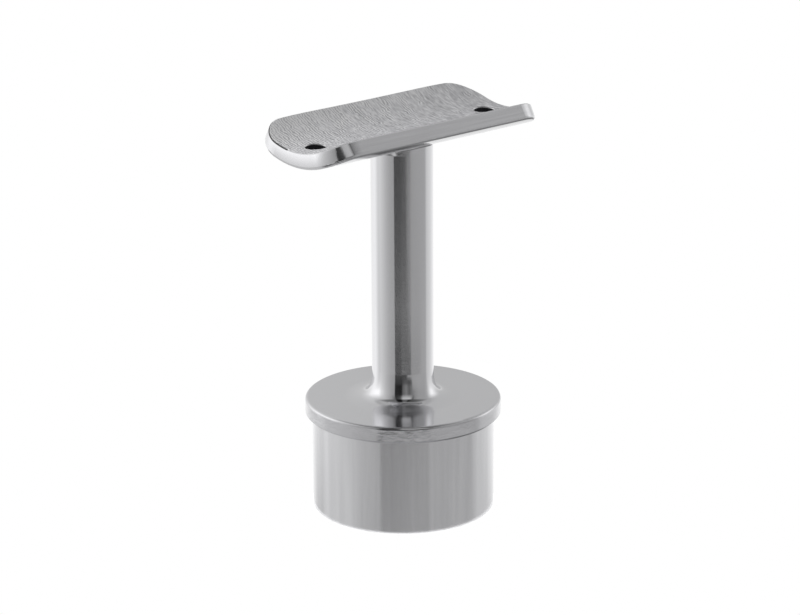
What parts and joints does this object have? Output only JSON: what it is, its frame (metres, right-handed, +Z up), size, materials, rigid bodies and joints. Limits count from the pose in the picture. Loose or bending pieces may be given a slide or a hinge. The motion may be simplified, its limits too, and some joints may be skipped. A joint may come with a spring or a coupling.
{
  "type": "handrail saddle",
  "caption": "Metal handrail saddle: a hollow round plug and flange for the open end of a tube post, a straight round stem, and a curved plate with screw holes that carries a round rail.",
  "frame": {"origin": "centre of the plug's open lower rim, on the stem's axis", "axes": "+Z up along the stem, +X along the handrail that the plate carries, +Y across the plate"},
  "size_m": [0.07, 0.0508, 0.1055],
  "materials": {
    "stainless_casting": "stainless steel: polished stem and flange, satin plug, linear-brushed plate sides, ground seat"
  },
  "bodies": {
    "root": {"handrail_saddle": "stainless_casting"}
  },
  "joints": []
}
